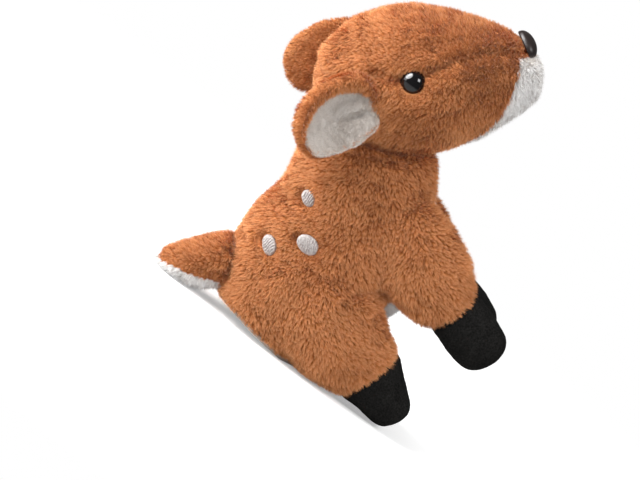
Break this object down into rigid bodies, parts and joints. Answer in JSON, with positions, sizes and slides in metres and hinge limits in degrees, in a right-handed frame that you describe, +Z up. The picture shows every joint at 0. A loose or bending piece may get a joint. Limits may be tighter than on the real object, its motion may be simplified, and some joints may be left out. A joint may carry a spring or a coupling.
{
  "type": "finger puppet",
  "caption": "Plush fawn finger puppet with spotted brown body, white belly and muzzle, black hooves, plastic eyes and nose, and a lined pocket for one finger",
  "frame": {"origin": "middle of the finger pocket's mouth, in the plane that the puppet sits on", "axes": "+X forward, the way the fawn's feet point; +Y the fawn's left; +Z up, along the finger pocket"},
  "size_m": [0.1022, 0.0467, 0.1243],
  "materials": {
    "brown_plush": "short dense pile, matte",
    "white_plush": "short dense pile, matte",
    "ear_velboa": "very short nap, matte",
    "black_velour": "fine knit velour, matte",
    "lining_cloth": "plain woven lining, matte",
    "stuffing": "polyester fibre",
    "eye_plastic": "high gloss",
    "nose_plastic": "satin",
    "washer_plastic": "matte",
    "embroidery_thread": "satin stitch"
  },
  "bodies": {
    "root": {"belly_panel": "white_plush", "body_side_left": "brown_plush", "body_side_right": "brown_plush", "body_stuffing": "stuffing", "ear_back_left": "brown_plush", "ear_back_right": "brown_plush", "ear_lining_left": "ear_velboa", "ear_lining_right": "ear_velboa", "eye_left": "eye_plastic", "eye_right": "eye_plastic", "eye_washer_left": "washer_plastic", "eye_washer_right": "washer_plastic", "finger_pocket": "lining_cloth", "head_gusset": "brown_plush", "head_side_left": "brown_plush", "head_side_right": "brown_plush", "head_stuffing": "stuffing", "hoof_front_left": "black_velour", "hoof_front_right": "black_velour", "hoof_rear_left": "black_velour", "hoof_rear_right": "black_velour", "muzzle_panel": "white_plush", "nose": "nose_plastic", "nose_washer": "washer_plastic", "spot_left_1": "embroidery_thread", "spot_left_2": "embroidery_thread", "spot_left_3": "embroidery_thread", "spot_right_1": "embroidery_thread", "spot_right_2": "embroidery_thread", "spot_right_3": "embroidery_thread", "tail_stuffing": "stuffing", "tail_top": "brown_plush", "tail_underside": "white_plush"}
  },
  "joints": []
}
